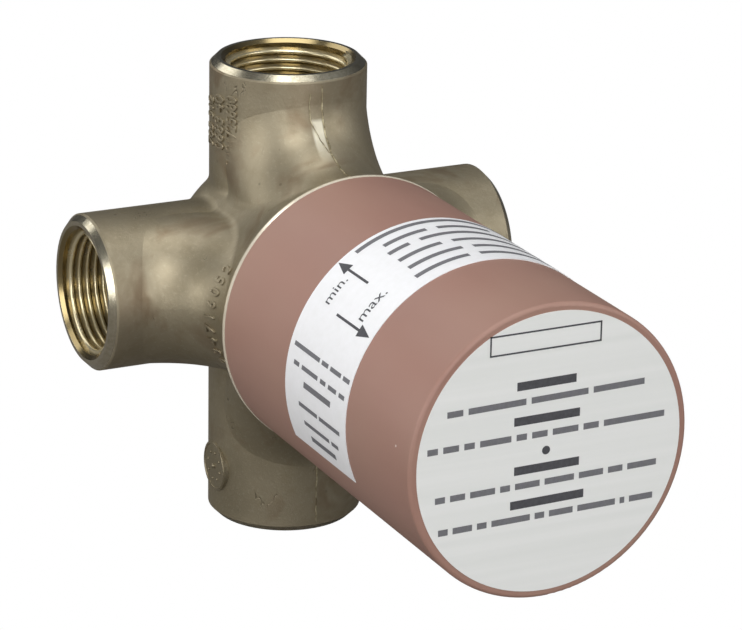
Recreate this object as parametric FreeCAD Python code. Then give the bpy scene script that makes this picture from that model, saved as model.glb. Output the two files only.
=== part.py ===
import FreeCAD, Part
import math
import os

# Concealed four-way shower valve body with its building-site sleeve.
# Millimetres, +Z up, -Y to the room. The origin is on the bottom port's axis,
# where its thread starts. Depths are measured forwards (-Y) from the port axes.

os.makedirs("parts", exist_ok=True)

ORIGIN = FreeCAD.Vector(0, 0, 0)
ALONG_X = FreeCAD.Vector(1, 0, 0)
ALONG_Y = FreeCAD.Vector(0, 1, 0)
ALONG_Z = FreeCAD.Vector(0, 0, 1)
FORWARD = FreeCAD.Vector(0, -1, 0)
FULL_TURN = 360.0
QUARTER_TURN = 90.0
HEX_TURN = 60.0
# How far a cutting tool runs past the face that it opens.
past = 1.0

# Ports: a tube of this diameter with a parallel 3/4 pipe thread in its mouth.
# Each straight is what is left of the tube beyond the bend to the flange.
port_diameter = 33.0
port_wall = 3.28
port_chamfer = 1.5
thread_length = 17.0
mouth_chamfer = 0.7
mouth_widening = 0.9
top_straight = 5.3
side_straight = 5.8
bottom_straight = 14.3
waterway_lap = 0.5
waterway_web = 1.5

# Hub of the casting, turned about the spindle line.
hub_margin = 1.2655
hub_back = 17.2
hub_back_flat = 11.0
hub_straight_back = 3.0
flare_start = 12.0
flare_end = 33.0
flare_drop = 0.5
flange_overhang = 4.8
flange_front = 34.0
flange_chamfer = 0.5
small_blend = 3.0

# Wide hollow between each tube's front and the flange.
bend_drop = 0.7
bend_hollow = 12.5
bend_slim = 0.5
bend_sink = 0.02

# Round pad for the foundry date on the left of the bottom port.
pad_radius = 5.45
pad_proud = 0.12
pad_from_end = 11.6
pad_depth = 4.5

# Spigot in front of the flange, that the sleeve is pushed on to.
spigot_length = 10.0
spigot_chamfer = 0.6
spigot_ledge = 2.1

# Cartridge chamber and its passages.
chamber_wall = 4.1
chamber_floor = 17.0
outlet_radius = 3.5
outlet_edge = 1.2
outlet_angles = (0.0, 90.0, 180.0)
inlet_margin = 0.2
inlet_base_gap = 0.8
inlet_half_angle = 28.0
inlet_end = 2.0
pin_radius = 1.5
pin_fit = 0.03
pin_pitch_offset = 0.5
pin_angles = (45.0, 135.0)
pin_in_floor = 3.0
pin_in_base = 2.5

# Stack of the cartridge, from the chamber floor forwards.
gasket_thickness = 1.0
gasket_inset = 0.3
base_inset = 2.0
base_thickness = 4.0
ear_fit = 0.05
ear_width = 8.0
disc_gasket_thickness = 0.8
disc_gasket_inset = 0.6
gasket_hole_gap = 0.2
fixed_disc_inset = 2.2
disc_thickness = 4.0
rotating_disc_inset = 2.6
port_sector_lap = 0.4
port_sector_half_angle = 24.0
drive_notch_edge = 2.2
drive_notch_width = 4.0
drive_notch_depth = 1.6
drive_play = 0.05
drive_end_gap = 0.1
driver_fit = 0.3
driver_thickness = 4.0
driver_key_width = 6.0
driver_key_length = 16.0
driver_key_depth = 2.0

# Spindle.
spindle_radius = 8.0
spindle_fit = 0.05
spindle_flange_width = 3.0
spindle_flange_thickness = 2.2
stop_tab_gap = 1.8
stop_tab_angle = 39.0
stop_rib_gap = 0.8
stop_rib_angle = 49.0
stop_gap_angle = 1.0
spindle_ring_groove = 1.9
spindle_ring_section = 0.78
spindle_ring_inset = 4.0
spindle_ring_spacing = 5.0
spline_drop = 2.4
spline_depth = 0.5
spline_count = 20
spline_length = 14.0
spline_standoff = 1.2
spindle_tip_chamfer = 0.6
handle_hole_radius = 2.5
handle_hole_depth = 14.0
washer_thickness = 1.0
washer_fit = 0.1
thrust_washer_thickness = 0.6
thrust_washer_margin = 0.8
circlip_groove_depth = 1.1
circlip_height = 1.6
circlip_thickness = 1.2
circlip_gap_angle = 50.0

# Brass housing of the cartridge.
skirt_fit = 0.1
skirt_wall = 2.0
skirt_foot_gap = 2.0
drum_step = 2.6
drum_wall = 2.4
shoulder_fit = 0.2
shoulder_thickness = 2.5
front_wall = 4.0
neck_wall = 4.5
neck_length = 16.0
neck_edge = 0.8
window_width = 11.0
window_count = 4
window_turn = 45.0
window_inset = 2.0
window_lip = 0.8
housing_ring_section = 0.75
housing_ring_groove = 1.9
housing_ring_inset = 1.6

# Ring nut that clamps the housing in the chamber.
nut_fit = 0.1
nut_hex_flat = 1.5
nut_hex_length = 5.7
nut_hex_standoff = 0.3
nut_edge = 1.2
slip_ring_thickness = 0.6

# Plastic sleeve over the works, and its two paper labels.
sleeve_step = 0.15
sleeve_wall = 2.6
sleeve_fit = 0.35
sleeve_front = 117.0
sleeve_front_wall = 2.5
sleeve_edge_round = 0.8
sleeve_rib_fit = 0.06
sleeve_rib_width = 3.0
sleeve_rib_count = 6
sleeve_rib_inset = 1.0
label_thickness = 0.12
glue_thickness = 0.02
band_back = 63.5
band_width = 27.0
band_start_angle = -45.0
band_sweep = 248.5
disc_label_margin = 1.55

# Derived radii, from the ports outwards to the sleeve.
port_radius = port_diameter / 2.0
thread_radius = port_radius - port_wall
hub_radius = port_radius * math.sqrt(2.0) + hub_margin
flange_radius = hub_radius + flange_overhang
flare_top = flange_radius - flare_drop
sleeve_radius = flange_radius - sleeve_step
sleeve_inner_radius = sleeve_radius - sleeve_wall
spigot_radius = sleeve_inner_radius - sleeve_fit
sleeve_rib_radius = spigot_radius + sleeve_rib_fit
disc_label_radius = sleeve_radius - disc_label_margin

# Derived radii, from the chamber inwards to the discs.
chamber_radius = hub_radius - chamber_wall
nut_bore_radius = chamber_radius + spigot_ledge
nut_radius = nut_bore_radius - nut_fit
shoulder_radius = nut_bore_radius - shoulder_fit
nut_hex_radius = nut_radius - nut_hex_flat
skirt_outer = chamber_radius - skirt_fit
skirt_inner = skirt_outer - skirt_wall
drum_inner = skirt_inner - drum_step
drum_outer = drum_inner + drum_wall
nut_hole_radius = drum_outer + washer_fit
ear_radius = skirt_inner - ear_fit
base_radius = skirt_inner - base_inset
fixed_disc_radius = skirt_inner - fixed_disc_inset
disc_gasket_radius = fixed_disc_radius - disc_gasket_inset
rotating_disc_radius = skirt_inner - rotating_disc_inset
driver_radius = drum_inner - driver_fit
drive_notch_middle = rotating_disc_radius - drive_notch_edge - drive_notch_width / 2.0
outlet_pitch_radius = fixed_disc_radius - outlet_edge - outlet_radius
port_sector_inner = outlet_pitch_radius - outlet_radius - port_sector_lap
pin_pitch_radius = outlet_pitch_radius + pin_pitch_offset
inlet_outer_radius = chamber_radius - inlet_margin
inlet_inner_radius = base_radius + inlet_base_gap
waterway_end = outlet_pitch_radius - past
waterway_radius = waterway_end - waterway_web

# Derived radii of the spindle and what sits on it.
spindle_flange_radius = spindle_radius + spindle_flange_width
stop_rib_inner = spindle_flange_radius + stop_rib_gap
stop_tab_radius = drum_inner - stop_tab_gap
spline_root_radius = spindle_radius - spline_drop
spline_tip_radius = spline_root_radius + spline_depth
circlip_groove_radius = spindle_radius - circlip_groove_depth
circlip_radius = spindle_radius + circlip_height
neck_radius = spindle_radius + neck_wall

# Derived places.
bend_crest = flare_top - bend_drop
bend_top = bend_crest + bend_hollow
top_reach = bend_top + top_straight
side_reach = bend_top + side_straight
bottom_reach = bend_top + bottom_straight
pad_drop = bottom_reach - pad_from_end
base_back = chamber_floor + gasket_thickness
base_front = base_back + base_thickness
fixed_back = base_front + disc_gasket_thickness
fixed_front = fixed_back + disc_thickness
rotating_front = fixed_front + disc_thickness
driver_front = rotating_front + driver_thickness
spindle_back = driver_front
flange_top = spindle_back + spindle_flange_thickness
wall_back = flange_top + washer_thickness
wall_front = wall_back + front_wall
neck_front = wall_front + neck_length
circlip_back = neck_front + thrust_washer_thickness
circlip_front = circlip_back + circlip_thickness
spline_back = circlip_front + spline_standoff
spindle_front = spline_back + spline_length
spigot_front = flange_front + spigot_length
shoulder_front = flange_front + shoulder_thickness
nut_back = shoulder_front + slip_ring_thickness
hex_back = spigot_front + nut_hex_standoff
hex_front = hex_back + nut_hex_length
rear_ring_place = wall_front + spindle_ring_inset
front_ring_place = rear_ring_place + spindle_ring_spacing
housing_ring_place = rotating_front + housing_ring_inset
window_back = base_back + window_inset
window_front = rotating_front - window_lip


def at(across, forward, up=0.0):
    return FreeCAD.Vector(across, -forward, up)


def line(start, end):
    return Part.LineSegment(start, end).toShape()


def arc(start, middle, end):
    return Part.Arc(start, middle, end).toShape()


def rod(radius, back, front, across=0.0, up=0.0):
    return Part.makeCylinder(radius, front - back, at(across, back, up), FORWARD)


def ring(outer, inner, back, front):
    return rod(outer, back, front).cut(rod(inner, back - past, front + past))


def turned(edges):
    return Part.Face(Part.Wire(edges)).revolve(ORIGIN, ALONG_Y, FULL_TURN)


def turned_outline(points):
    places = [at(radius, forward) for radius, forward in points]
    places.append(places[0])
    return turned([line(places[i], places[i + 1]) for i in range(len(places) - 1)])


def polar(radius, angle):
    turn = math.radians(angle)
    return radius * math.cos(turn), radius * math.sin(turn)


def wedge(inner, outer, back, front, middle_angle, half_angle):
    x1, z1 = polar(inner, middle_angle - half_angle)
    x2, z2 = polar(outer, middle_angle - half_angle)
    x3, z3 = polar(outer, middle_angle)
    x4, z4 = polar(outer, middle_angle + half_angle)
    x5, z5 = polar(inner, middle_angle + half_angle)
    x6, z6 = polar(inner, middle_angle)
    edges = [line(at(x1, back, z1), at(x2, back, z2))]
    edges.append(arc(at(x2, back, z2), at(x3, back, z3), at(x4, back, z4)))
    edges.append(line(at(x4, back, z4), at(x5, back, z5)))
    edges.append(arc(at(x5, back, z5), at(x6, back, z6), at(x1, back, z1)))
    return Part.Face(Part.Wire(edges)).extrude(FreeCAD.Vector(0, back - front, 0))


def spun(shape, angle):
    copy = shape.copy()
    copy.rotate(ORIGIN, FORWARD, angle)
    return copy


def block(width, height, back, front, middle_radius, angle):
    corner = FreeCAD.Vector(middle_radius - width / 2.0, -front, -height / 2.0)
    return spun(Part.makeBox(width, front - back, height, corner), -angle)


def turned_to(shape, angle):
    # Turns a shape built on +Z about the spindle line, 90 degrees to +X.
    copy = shape.copy()
    copy.rotate(ORIGIN, ALONG_Y, angle)
    return copy


def tangent_arc_radius(depth, height):
    return (depth * depth + height * height) / (2.0 * height)


def hub_solid():
    # Bowl behind the flange: concave flare in front, rounded shoulder behind.
    flare_depth = flare_end - flare_start
    flare_height = flare_top - hub_radius
    flare_arc = tangent_arc_radius(flare_depth, flare_height)
    half = math.asin(flare_depth / flare_arc) / 2.0
    flare_middle = at(hub_radius + flare_arc * (1.0 - math.cos(half)),
                      flare_start + flare_arc * math.sin(half))
    back_height = hub_radius - hub_back_flat
    back_arc = tangent_arc_radius(hub_back - hub_straight_back, back_height)
    half = math.acos(1.0 - back_height / back_arc) / 2.0
    back_middle = at(hub_radius - back_arc * (1.0 - math.cos(half)),
                     -hub_straight_back - back_arc * math.sin(half))
    flare_front = at(flare_top, flare_end)
    flare_back = at(hub_radius, flare_start)
    straight_back = at(hub_radius, -hub_straight_back)
    flat_edge = at(hub_back_flat, -hub_back)
    edges = [line(at(0, flange_front), at(flange_radius - flange_chamfer, flange_front))]
    edges.append(line(at(flange_radius - flange_chamfer, flange_front),
                      at(flange_radius, flange_front - flange_chamfer)))
    edges.append(line(at(flange_radius, flange_front - flange_chamfer), at(flange_radius, flare_end)))
    edges.append(line(at(flange_radius, flare_end), flare_front))
    edges.append(arc(flare_front, flare_middle, flare_back))
    edges.append(line(flare_back, straight_back))
    edges.append(arc(straight_back, back_middle, flat_edge))
    edges.append(line(flat_edge, at(0, -hub_back)))
    edges.append(line(at(0, -hub_back), at(0, flange_front)))
    # The seam of the turned skin lies between two ports.
    return turned_to(turned(edges), QUARTER_TURN / 2.0)


def branch(reach):
    # One port tube, built upwards. In front it bends over into the flange in
    # a wide hollow: that is the inside of a quarter bend of almost its width.
    bend_radius = port_radius - bend_slim
    bend_shift = bend_slim - bend_sink
    bend_front = bend_radius + bend_shift + bend_hollow
    bevel_start = reach - port_chamfer
    tube = Part.makeCylinder(port_radius, bevel_start, ORIGIN, ALONG_Z)
    bevel = Part.makeCone(port_radius, port_radius - port_chamfer, port_chamfer,
                          FreeCAD.Vector(0, 0, bevel_start), ALONG_Z)
    mouth = Part.makeCircle(bend_radius, FreeCAD.Vector(0, -bend_shift, bend_top), ALONG_Z)
    bend = Part.Face(Part.Wire(mouth)).revolve(FreeCAD.Vector(0, -bend_front, bend_top),
                                               ALONG_X * -1.0, QUARTER_TURN)
    nose_up = bend_crest - bend_radius
    nose = rod(bend_radius, bend_front, flare_end + (flange_front - flare_end) / 2.0, 0.0, nose_up)
    return [tube, bevel, bend, nose]


def crease_angle(shape, edge):
    faces = shape.ancestorsOfType(edge, Part.Face)
    if len(faces) != 2:
        return 0.0
    place = edge.valueAt((edge.FirstParameter + edge.LastParameter) / 2.0)
    normals = []
    for face in faces:
        u, v = face.Surface.parameter(place)
        normals.append(face.normalAt(u, v))
    return math.degrees(normals[0].getAngle(normals[1]))


def blend_creases(shape, hub):
    # Rounds the hollow seams where the tubes and bends grow out of the hub.
    seams = []
    skin = hub.Shells[0]
    for edge in shape.Edges:
        place = edge.valueAt((edge.FirstParameter + edge.LastParameter) / 2.0)
        if -place.y > flare_end - flare_drop or not 10.0 < crease_angle(shape, edge) < 65.0:
            continue
        if skin.distToShape(Part.Vertex(place))[0] < 0.01:
            seams.append(edge)
    return shape.makeFillet(small_blend, seams)


def port_bore(reach):
    # Threaded socket, its bevelled mouth, and the waterway behind it.
    socket_floor = reach - thread_length
    mouth = thread_radius + mouth_widening
    floor_middle = FreeCAD.Vector(0, 0, socket_floor)
    bore = Part.makeCylinder(thread_radius, thread_length + past, floor_middle, ALONG_Z)
    lead_start = FreeCAD.Vector(0, 0, reach - mouth_chamfer)
    lead = Part.makeCone(thread_radius, mouth, mouth_chamfer, lead_start, ALONG_Z)
    way_length = socket_floor - waterway_end + waterway_lap
    way = Part.makeCylinder(waterway_radius, way_length, FreeCAD.Vector(0, 0, waterway_end), ALONG_Z)
    return bore.fuse([lead, way])


def valve_body():
    reaches = (top_reach, side_reach, bottom_reach, side_reach)
    turns = (0.0, QUARTER_TURN, 2.0 * QUARTER_TURN, 3.0 * QUARTER_TURN)
    arms = []
    for reach, turn in zip(reaches, turns):
        for piece in branch(reach):
            arms.append(turned_to(piece, turn))
    hub = hub_solid()
    solid = blend_creases(hub.fuse(arms).removeSplitter().Solids[0], hub).Solids[0]
    pad_start = FreeCAD.Vector(-port_radius - pad_proud, 0, -pad_drop)
    pad = Part.makeCylinder(pad_radius, pad_depth, pad_start, ALONG_X)
    spigot = turned_outline((
        (0.0, flange_front - past),
        (spigot_radius, flange_front - past),
        (spigot_radius, spigot_front - spigot_chamfer),
        (spigot_radius - spigot_chamfer, spigot_front),
        (0.0, spigot_front),
    ))
    solid = solid.fuse([pad, spigot])
    cutters = [turned_to(port_bore(reach), turn) for reach, turn in zip(reaches, turns)]
    cutters.append(rod(chamber_radius, chamber_floor, spigot_front + past))
    cutters.append(rod(nut_bore_radius, flange_front, spigot_front + past))
    for angle in outlet_angles:
        x, z = polar(outlet_pitch_radius, angle)
        cutters.append(rod(outlet_radius, 0.0, chamber_floor + past, x, z))
    for angle in pin_angles:
        x, z = polar(pin_pitch_radius, angle)
        back = chamber_floor - pin_in_floor
        cutters.append(rod(pin_radius + pin_fit, back, chamber_floor + past, x, z))
    cutters.append(wedge(inlet_inner_radius, inlet_outer_radius, inlet_end, chamber_floor + past,
                         -QUARTER_TURN, inlet_half_angle))
    return solid.cut(cutters).removeSplitter()


def locating_pins():
    pins = []
    for angle in pin_angles:
        x, z = polar(pin_pitch_radius, angle)
        pins.append(rod(pin_radius, chamber_floor - pin_in_floor, base_back + pin_in_base, x, z))
    return Part.makeCompound(pins)


def with_outlets(shape, back, front, radius=outlet_radius):
    for angle in outlet_angles:
        x, z = polar(outlet_pitch_radius, angle)
        shape = shape.cut(rod(radius, back - past, front + past, x, z))
    return shape


def with_pin_holes(shape, back, front):
    for angle in pin_angles:
        x, z = polar(pin_pitch_radius, angle)
        shape = shape.cut(rod(pin_radius + pin_fit, back, front, x, z))
    return shape


def base_gasket():
    plate = with_outlets(rod(base_radius - gasket_inset, chamber_floor, base_back), chamber_floor, base_back)
    return with_pin_holes(plate, chamber_floor - past, base_back + past)


def cartridge_base():
    plate = rod(base_radius, base_back, base_front)
    reach = rod(ear_radius, base_back, base_front)
    for step in range(window_count):
        bar = block(ear_radius + past, ear_width, base_back, base_front,
                    (ear_radius + past) / 2.0, step * FULL_TURN / window_count)
        plate = plate.fuse(bar.common(reach))
    plate = with_outlets(plate, base_back, base_front)
    return with_pin_holes(plate, base_back - past, base_back + pin_in_base).removeSplitter()


def disc_gasket():
    return with_outlets(rod(disc_gasket_radius, base_front, fixed_back), base_front, fixed_back,
                        outlet_radius + gasket_hole_gap)


def fixed_disc():
    return with_outlets(rod(fixed_disc_radius, fixed_back, fixed_front), fixed_back, fixed_front)


def drive_notches(shape, back, front, spare):
    # Two pockets across from each other, clear of the open sector.
    for angle in (0.0, 2.0 * QUARTER_TURN):
        shape = shape.cut(block(drive_notch_width + 2.0 * spare, drive_notch_width + 2.0 * spare,
                                back, front, drive_notch_middle, angle))
    return shape


def rotating_disc():
    # The open sector points down, over the blank part of the fixed disc.
    disc = rod(rotating_disc_radius, fixed_front, rotating_front)
    mouth = wedge(port_sector_inner, rotating_disc_radius + past, fixed_front - past, rotating_front + past,
                  -QUARTER_TURN, port_sector_half_angle)
    notch_floor = rotating_front - drive_notch_depth
    return drive_notches(disc.cut(mouth), notch_floor, rotating_front + past, drive_play)


def disc_driver():
    plate = rod(driver_radius, rotating_front, driver_front)
    for angle in (0.0, 2.0 * QUARTER_TURN):
        lug = block(drive_notch_width, drive_notch_width, rotating_front - drive_notch_depth + drive_end_gap,
                    rotating_front + past, drive_notch_middle, angle)
        plate = plate.fuse(lug)
    key = block(driver_key_length + 2.0 * drive_play, driver_key_width + 2.0 * drive_play,
                driver_front - driver_key_depth, driver_front + past, 0.0, 0.0)
    return plate.cut(key).removeSplitter()


def spindle():
    flange = rod(spindle_flange_radius, spindle_back, flange_top)
    key = block(driver_key_length, driver_key_width, spindle_back - driver_key_depth + drive_end_gap,
                spindle_back + past, 0.0, 0.0)
    tab = wedge(spindle_flange_radius - past, stop_tab_radius, spindle_back, flange_top,
                stop_tab_middle(), stop_tab_angle / 2.0)
    journal = rod(spindle_radius, flange_top - past, spline_back)
    solid = flange.fuse([key, tab, journal, splined_head()])
    groove_radius = spindle_radius - 2.0 * spindle_ring_section
    for place in (rear_ring_place, front_ring_place):
        solid = solid.cut(ring(spindle_radius + past, groove_radius, place - spindle_ring_groove / 2.0,
                               place + spindle_ring_groove / 2.0))
    solid = solid.cut(ring(spindle_radius + past, circlip_groove_radius, circlip_back, circlip_front))
    hole = rod(handle_hole_radius, spindle_front - handle_hole_depth, spindle_front + past)
    return solid.cut(hole).removeSplitter()


def splined_head():
    core = turned_outline((
        (0.0, spline_back - past),
        (spline_root_radius, spline_back - past),
        (spline_root_radius, spindle_front - spindle_tip_chamfer),
        (spline_root_radius - spindle_tip_chamfer, spindle_front),
        (0.0, spindle_front),
    ))
    half = FULL_TURN / spline_count / 4.0
    teeth = []
    for step in range(spline_count):
        angle = step * FULL_TURN / spline_count
        teeth.append(wedge(spline_root_radius - spline_depth, spline_tip_radius, spline_back - past,
                           spindle_front - 2.0 * spindle_tip_chamfer, angle, half))
    return core.fuse(teeth)


def stop_tab_middle():
    # With the valve shut the tab rests beside the rib's right-hand flank, and
    # turning clockwise, seen from the room, takes it round to the other one.
    return QUARTER_TURN - (stop_rib_angle + stop_tab_angle) / 2.0 - stop_gap_angle


def o_ring(middle_radius, section, place):
    return Part.makeTorus(middle_radius, section, at(0, place), ALONG_Y)


def spindle_o_ring_back():
    return o_ring(spindle_radius - spindle_ring_section, spindle_ring_section, rear_ring_place)


def spindle_o_ring_front():
    return o_ring(spindle_radius - spindle_ring_section, spindle_ring_section, front_ring_place)


def housing_o_ring():
    return o_ring(skirt_outer - housing_ring_section, housing_ring_section, housing_ring_place)


def glide_washer():
    return ring(spindle_flange_radius, spindle_radius + washer_fit, flange_top, wall_back)


def thrust_washer():
    outer = circlip_radius + thrust_washer_margin
    return ring(outer, spindle_radius + spindle_fit, neck_front, circlip_back)


def circlip():
    clip = ring(circlip_radius, circlip_groove_radius, circlip_back, circlip_front)
    mouth = wedge(past, circlip_radius + past, circlip_back - past, circlip_front + past,
                  -QUARTER_TURN, circlip_gap_angle / 2.0)
    return clip.cut(mouth)


def cartridge_housing():
    skirt_foot = chamber_floor + skirt_foot_gap
    bore = spindle_radius + spindle_fit
    solid = turned_outline((
        (skirt_inner, skirt_foot),
        (skirt_outer, skirt_foot),
        (skirt_outer, flange_front),
        (shoulder_radius, flange_front),
        (shoulder_radius, shoulder_front),
        (drum_outer, shoulder_front),
        (drum_outer, wall_front),
        (neck_radius, wall_front),
        (neck_radius, neck_front - neck_edge),
        (neck_radius - neck_edge, neck_front),
        (bore, neck_front),
        (bore, wall_back),
        (drum_inner, wall_back),
        (drum_inner, rotating_front),
        (skirt_inner, rotating_front),
    ))
    solid = solid.cut(ring(skirt_outer + past, skirt_outer - 2.0 * housing_ring_section,
                           housing_ring_place - housing_ring_groove / 2.0,
                           housing_ring_place + housing_ring_groove / 2.0))
    for step in range(window_count):
        solid = solid.cut(block(chamber_radius, window_width, window_back, window_front,
                                chamber_radius, window_turn + step * FULL_TURN / window_count))
    rib = wedge(stop_rib_inner, drum_inner + past, spindle_back, wall_back + past,
                QUARTER_TURN, stop_rib_angle / 2.0)
    return solid.fuse(rib).removeSplitter()


def slip_ring():
    return ring(shoulder_radius, nut_hole_radius, shoulder_front, nut_back)


def retaining_nut():
    barrel = rod(nut_radius, nut_back, hex_back)
    corner = nut_hex_radius / math.cos(math.radians(HEX_TURN / 2.0))
    points = []
    for step in range(7):
        x, z = polar(corner, step * HEX_TURN)
        points.append(at(x, hex_back, z))
    hexagon = Part.Face(Part.makePolygon(points)).extrude(FreeCAD.Vector(0, hex_back - hex_front, 0))
    crown = turned_outline((
        (0.0, hex_back),
        (corner, hex_back),
        (corner, hex_front - nut_edge),
        (nut_hex_radius, hex_front),
        (0.0, hex_front),
    ))
    solid = barrel.fuse(hexagon.common(crown))
    return solid.cut(rod(nut_hole_radius, nut_back - past, hex_front + past)).removeSplitter()


def protective_sleeve():
    round_depth = sleeve_edge_round * (1.0 - math.sqrt(0.5))
    edges = [line(at(sleeve_inner_radius, flange_front), at(sleeve_radius, flange_front))]
    edges.append(line(at(sleeve_radius, flange_front), at(sleeve_radius, sleeve_front - sleeve_edge_round)))
    edges.append(arc(at(sleeve_radius, sleeve_front - sleeve_edge_round),
                     at(sleeve_radius - round_depth, sleeve_front - round_depth),
                     at(sleeve_radius - sleeve_edge_round, sleeve_front)))
    edges.append(line(at(sleeve_radius - sleeve_edge_round, sleeve_front), at(0, sleeve_front)))
    edges.append(line(at(0, sleeve_front), at(0, sleeve_front - sleeve_front_wall)))
    edges.append(line(at(0, sleeve_front - sleeve_front_wall),
                      at(sleeve_inner_radius, sleeve_front - sleeve_front_wall)))
    edges.append(line(at(sleeve_inner_radius, sleeve_front - sleeve_front_wall),
                      at(sleeve_inner_radius, flange_front)))
    solid = turned(edges)
    half = math.degrees(sleeve_rib_width / 2.0 / sleeve_inner_radius)
    for step in range(sleeve_rib_count):
        rib = wedge(sleeve_rib_radius, sleeve_inner_radius + sleeve_wall / 2.0, flange_front,
                    spigot_front - sleeve_rib_inset, step * FULL_TURN / sleeve_rib_count, half)
        solid = solid.fuse(rib)
    return solid.removeSplitter()


def wrap_label():
    inner = sleeve_radius + glue_thickness
    outer = inner + label_thickness
    band_front = band_back + band_width
    edges = [line(at(inner, band_back), at(outer, band_back))]
    edges.append(line(at(outer, band_back), at(outer, band_front)))
    edges.append(line(at(outer, band_front), at(inner, band_front)))
    edges.append(line(at(inner, band_front), at(inner, band_back)))
    face = Part.Face(Part.Wire(edges))
    face.rotate(ORIGIN, ALONG_Y, -band_start_angle)
    return face.revolve(ORIGIN, ALONG_Y, -band_sweep)


def front_label():
    return rod(disc_label_radius, sleeve_front, sleeve_front + label_thickness)


PIECES = {
    "valve_body": valve_body,
    "locating_pins": locating_pins,
    "base_gasket": base_gasket,
    "cartridge_base": cartridge_base,
    "disc_gasket": disc_gasket,
    "fixed_disc": fixed_disc,
    "rotating_disc": rotating_disc,
    "disc_driver": disc_driver,
    "spindle": spindle,
    "spindle_o_ring_back": spindle_o_ring_back,
    "spindle_o_ring_front": spindle_o_ring_front,
    "glide_washer": glide_washer,
    "thrust_washer": thrust_washer,
    "circlip": circlip,
    "cartridge_housing": cartridge_housing,
    "housing_o_ring": housing_o_ring,
    "slip_ring": slip_ring,
    "retaining_nut": retaining_nut,
    "protective_sleeve": protective_sleeve,
    "wrap_label": wrap_label,
    "front_label": front_label,
}

for name, make in PIECES.items():
    shape = make()
    shape.translate(FreeCAD.Vector(0, 0, bottom_reach - mouth_chamfer))
    shape.exportStep("parts/" + name + ".step")
    solids = len(shape.Solids)
    print(name, "valid", shape.isValid(), "solids", solids, "volume", round(shape.Volume, 1))
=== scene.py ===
import math
import random

import bmesh
import bpy
from mathutils import Matrix, Vector
from mathutils.bvhtree import BVHTree


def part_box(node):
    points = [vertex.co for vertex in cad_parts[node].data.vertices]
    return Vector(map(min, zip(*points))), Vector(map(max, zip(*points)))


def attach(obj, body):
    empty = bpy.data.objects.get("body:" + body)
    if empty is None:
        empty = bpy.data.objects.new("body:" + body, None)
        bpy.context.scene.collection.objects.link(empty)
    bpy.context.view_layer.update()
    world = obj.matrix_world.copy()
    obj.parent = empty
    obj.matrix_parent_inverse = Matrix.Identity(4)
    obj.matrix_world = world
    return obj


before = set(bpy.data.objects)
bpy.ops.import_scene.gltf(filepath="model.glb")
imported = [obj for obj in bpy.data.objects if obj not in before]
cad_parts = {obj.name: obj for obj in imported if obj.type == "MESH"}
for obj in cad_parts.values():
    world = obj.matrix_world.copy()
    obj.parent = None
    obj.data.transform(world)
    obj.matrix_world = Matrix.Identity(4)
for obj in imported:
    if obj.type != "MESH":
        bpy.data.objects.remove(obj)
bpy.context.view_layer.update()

random.seed(7)

# The camera stands left of and above the object, far off with a long lens.
# Its place comes from the outlines of the ports and of the sleeve, and is set
# from the point where the spindle line crosses the upright ports.
MM = 0.001
sleeve_low, sleeve_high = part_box("protective_sleeve")
axis_z = (sleeve_low[2] + sleeve_high[2]) / 2.0
crossing = Vector((0.0, 0.0, axis_z))
camera_turn = math.radians(-26.303)
camera_rise = math.radians(19.568)
camera_roll = math.radians(1.078)
camera_distance = 0.7399
camera_focal_px = 3580.4
frame_width_px = 742.0
camera_target = crossing + Vector((5.519, -30.0, -2.304)) * MM

camera_back = Vector((
    math.sin(camera_turn) * math.cos(camera_rise),
    -math.cos(camera_turn) * math.cos(camera_rise),
    math.sin(camera_rise),
))
level_right = Vector((0, 0, 1)).cross(camera_back).normalized()
level_up = camera_back.cross(level_right)
camera_right = level_right * math.cos(camera_roll) + level_up * math.sin(camera_roll)
camera_up = level_up * math.cos(camera_roll) - level_right * math.sin(camera_roll)
camera_data = bpy.data.cameras.new("photo_camera")
camera_data.sensor_fit = "HORIZONTAL"
camera_data.sensor_width = 36.0
camera_data.lens = camera_focal_px / frame_width_px * camera_data.sensor_width
camera_data.clip_start = 0.05
camera_data.clip_end = 20.0
camera = bpy.data.objects.new("photo_camera", camera_data)
camera_place = Matrix((camera_right, camera_up, camera_back)).transposed().to_4x4()
camera_place.translation = camera_target + camera_back * camera_distance
camera.matrix_world = camera_place
bpy.context.scene.collection.objects.link(camera)
bpy.context.scene.camera = camera

# Plain studio: a white floor and backdrop that the camera sees as white
# paper, and eight soft lights, of which the strongest stand up in front and
# on the left. The sky is dim, and darker behind the object.
scene = bpy.context.scene
scene.view_settings.view_transform = "Standard"


def node(tree, kind, **settings):
    made = tree.nodes.new(kind)
    for key, value in settings.items():
        setattr(made, key, value)
    return made


def feed(tree, socket, value):
    if isinstance(value, bpy.types.NodeSocket):
        tree.links.new(value, socket)
    elif value is not None:
        socket.default_value = value


def calc(tree, operation, first, second=None, third=None):
    made = node(tree, "ShaderNodeMath", operation=operation)
    for socket, value in zip(made.inputs, (first, second, third)):
        feed(tree, socket, value)
    return made.outputs[0]


def spread(tree, value, low, high, to_low=0.0, to_high=1.0):
    made = node(tree, "ShaderNodeMapRange", clamp=True)
    for socket, number in zip(made.inputs, (value, low, high, to_low, to_high)):
        feed(tree, socket, number)
    return made.outputs[0]


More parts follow.
